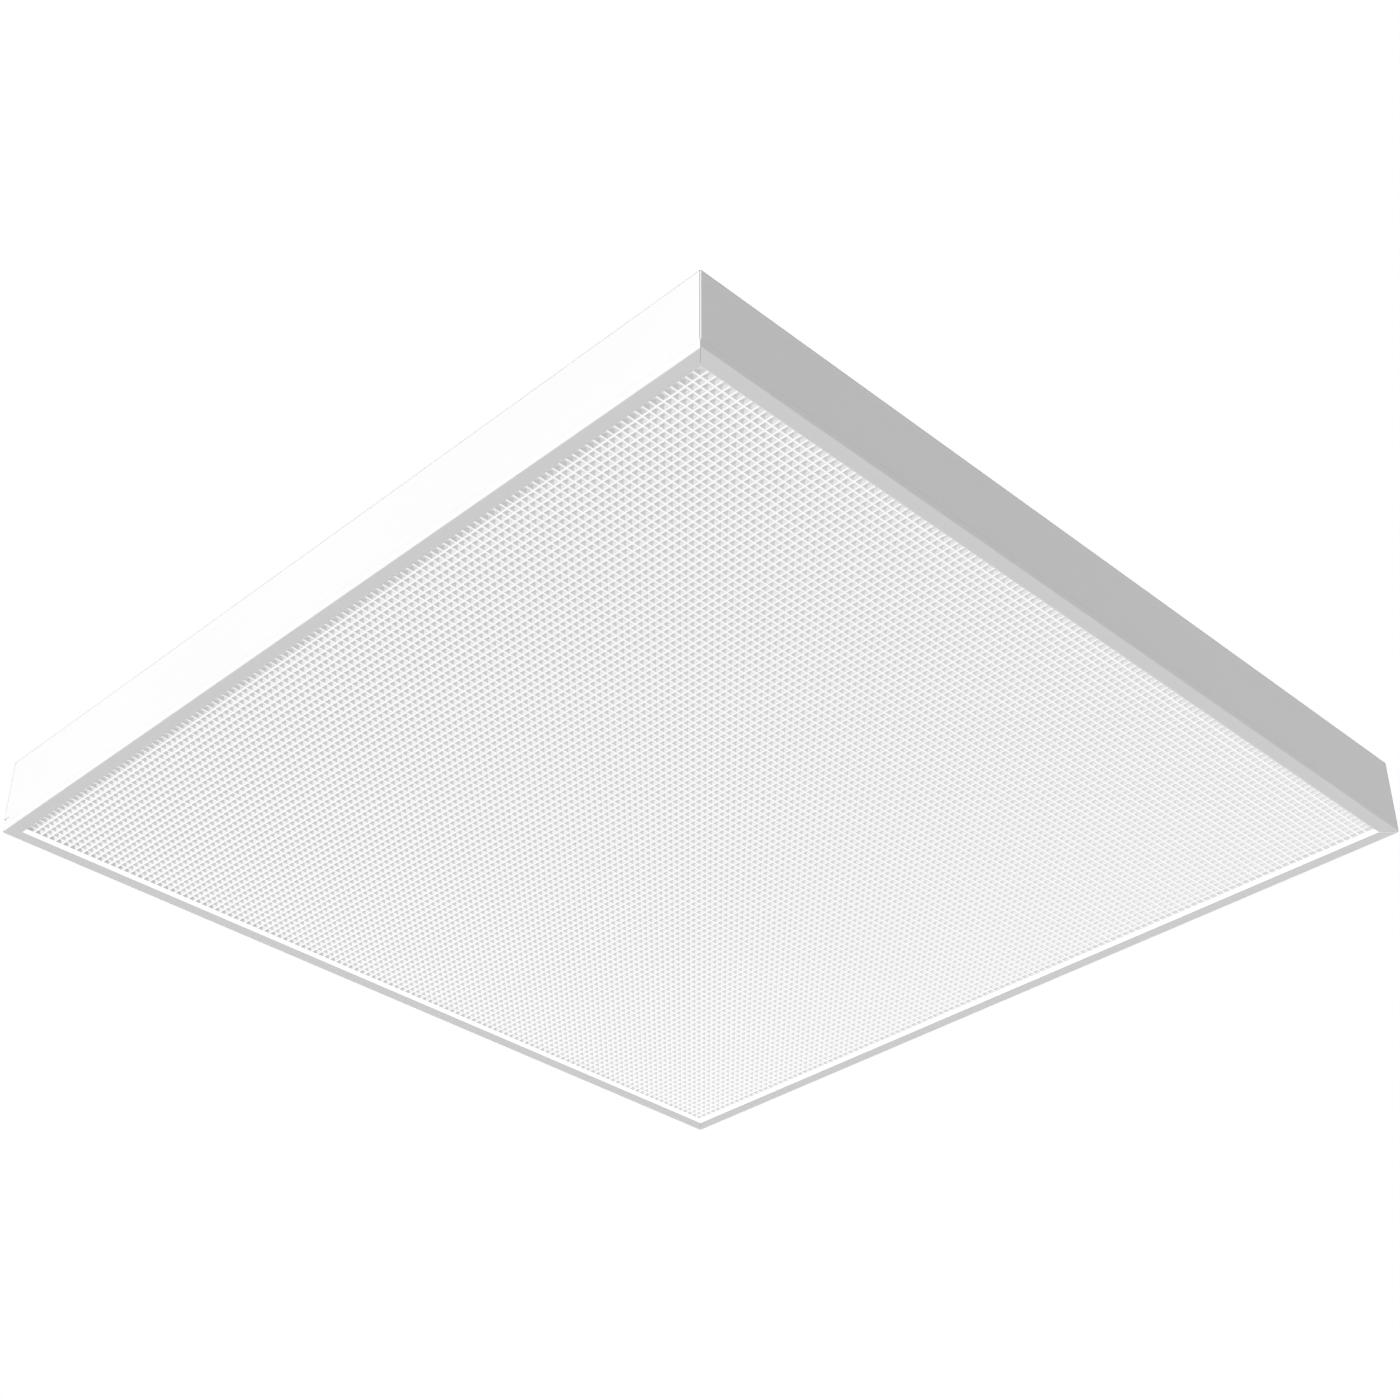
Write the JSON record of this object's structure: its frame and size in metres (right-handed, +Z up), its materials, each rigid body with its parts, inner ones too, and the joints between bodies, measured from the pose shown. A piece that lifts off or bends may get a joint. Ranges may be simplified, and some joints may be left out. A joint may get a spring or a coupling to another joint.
{
  "type": "recessed troffer light",
  "caption": "Square shallow lay-in ceiling light: folded steel tray with LED boards and driver, and a hinged mitred frame holding a prismatic lens.",
  "frame": {"origin": "centre of the underside of the lens frame", "axes": "+Z up into the ceiling, +Y towards the hinge side, +X to the right when seen from the front side"},
  "size_m": [0.595, 0.595, 0.0554],
  "materials": {
    "white_enamel": "satin white powder coat",
    "zinc_plate": "bright zinc plate",
    "spring_steel": "polished spring steel",
    "board_white": "white solder mask on aluminium-core board",
    "led_phosphor": "yellow phosphor in a white package",
    "lens_acrylic": "moulded prismatic acrylic, milky",
    "driver_metal": "white painted steel case",
    "circuit_green": "green solder mask",
    "clear_film": "amber polyester film",
    "copper_winding": "yellow tape over copper winding",
    "black_plastic": "black sleeve",
    "rubber_black": "matt black rubber",
    "white_plastic": "white nylon",
    "button_orange": "orange nylon",
    "wire_brown": "brown insulation",
    "wire_blue": "blue insulation",
    "wire_green_yellow": "green and yellow insulation",
    "wire_white": "white insulation"
  },
  "bodies": {
    "housing": {"cable_grommet": "rubber_black", "catch_spring_left": "spring_steel", "catch_spring_right": "spring_steel", "driver_base": "driver_metal", "driver_capacitors": "black_plastic", "driver_choke": "copper_winding", "driver_circuit_board": "circuit_green", "driver_cover": "driver_metal", "driver_input_terminal": "white_plastic", "driver_insulator": "clear_film", "driver_output_terminal": "white_plastic", "driver_transformer": "copper_winding", "earth_lead": "wire_green_yellow", "earth_lug": "zinc_plate", "earth_nut": "zinc_plate", "earth_stud": "zinc_plate", "earth_washer": "zinc_plate", "gear_cover": "white_enamel", "gear_screws": "zinc_plate", "grid_clip_rivets": "zinc_plate", "hinge_leaf_fixed_left": "zinc_plate", "hinge_leaf_fixed_right": "zinc_plate", "hinge_pins": "zinc_plate", "hinge_rivets": "zinc_plate", "housing_tray": "white_enamel", "led_board_1": "board_white", "led_board_2": "board_white", "led_board_3": "board_white", "led_board_4": "board_white", "led_board_connectors": "white_plastic", "led_board_jumpers": "wire_white", "led_board_screws": "zinc_plate", "led_leads": "wire_white", "led_packages": "led_phosphor", "supply_lead_line": "wire_brown", "supply_lead_neutral": "wire_blue", "terminal_block": "white_plastic", "terminal_block_screws": "zinc_plate", "terminal_spring_earth": "spring_steel", "terminal_spring_line": "spring_steel", "terminal_spring_neutral": "spring_steel"},
    "lens_frame": {"frame_rail_front": "white_enamel", "frame_rail_right": "white_enamel", "frame_rail_back": "white_enamel", "frame_rail_left": "white_enamel", "corner_keys": "zinc_plate", "prismatic_lens": "lens_acrylic", "lens_clips": "spring_steel", "hinge_leaf_moving_left": "zinc_plate", "hinge_leaf_moving_right": "zinc_plate", "catch_keeper_left": "zinc_plate", "catch_keeper_right": "zinc_plate"},
    "grid_clip_front_left": {"grid_clip_front_left": "zinc_plate"},
    "grid_clip_front_right": {"grid_clip_front_right": "zinc_plate"},
    "grid_clip_back_left": {"grid_clip_back_left": "zinc_plate"},
    "grid_clip_back_right": {"grid_clip_back_right": "zinc_plate"},
    "button_line": {"terminal_button_line": "button_orange"},
    "button_neutral": {"terminal_button_neutral": "button_orange"},
    "button_earth": {"terminal_button_earth": "button_orange"}
  },
  "joints": [
    {"name": "lens_frame_hinge", "type": "hinge", "parent": "housing", "child": "lens_frame", "pos_m": [0, 0.2955, 0.0055], "axis": [1, 0, 0], "range_deg": [0, 90], "deforming": ["catch_spring_left", "catch_spring_right"]},
    {"name": "grid_clip_front_left_swing", "type": "hinge", "parent": "housing", "child": "grid_clip_front_left", "pos_m": [-0.25, -0.28, 0.0509], "axis": [0, 0, -1], "range_deg": [0, 90]},
    {"name": "grid_clip_front_right_swing", "type": "hinge", "parent": "housing", "child": "grid_clip_front_right", "pos_m": [0.25, -0.28, 0.0509], "axis": [0, 0, 1], "range_deg": [0, 90]},
    {"name": "grid_clip_back_left_swing", "type": "hinge", "parent": "housing", "child": "grid_clip_back_left", "pos_m": [-0.25, 0.28, 0.0509], "axis": [0, 0, 1], "range_deg": [0, 90]},
    {"name": "grid_clip_back_right_swing", "type": "hinge", "parent": "housing", "child": "grid_clip_back_right", "pos_m": [0.25, 0.28, 0.0509], "axis": [0, 0, -1], "range_deg": [0, 90]},
    {"name": "button_line_press", "type": "slide", "parent": "housing", "child": "button_line", "axis": [0, 0, 1], "range_m": [0, 0.0015], "stiffness_N_per_m": 400, "springref_m": -0.002, "deforming": ["terminal_spring_line"]},
    {"name": "button_neutral_press", "type": "slide", "parent": "housing", "child": "button_neutral", "axis": [0, 0, 1], "range_m": [0, 0.0015], "stiffness_N_per_m": 400, "springref_m": -0.002, "deforming": ["terminal_spring_neutral"]},
    {"name": "button_earth_press", "type": "slide", "parent": "housing", "child": "button_earth", "axis": [0, 0, 1], "range_m": [0, 0.0015], "stiffness_N_per_m": 400, "springref_m": -0.002, "deforming": ["terminal_spring_earth"]}
  ]
}
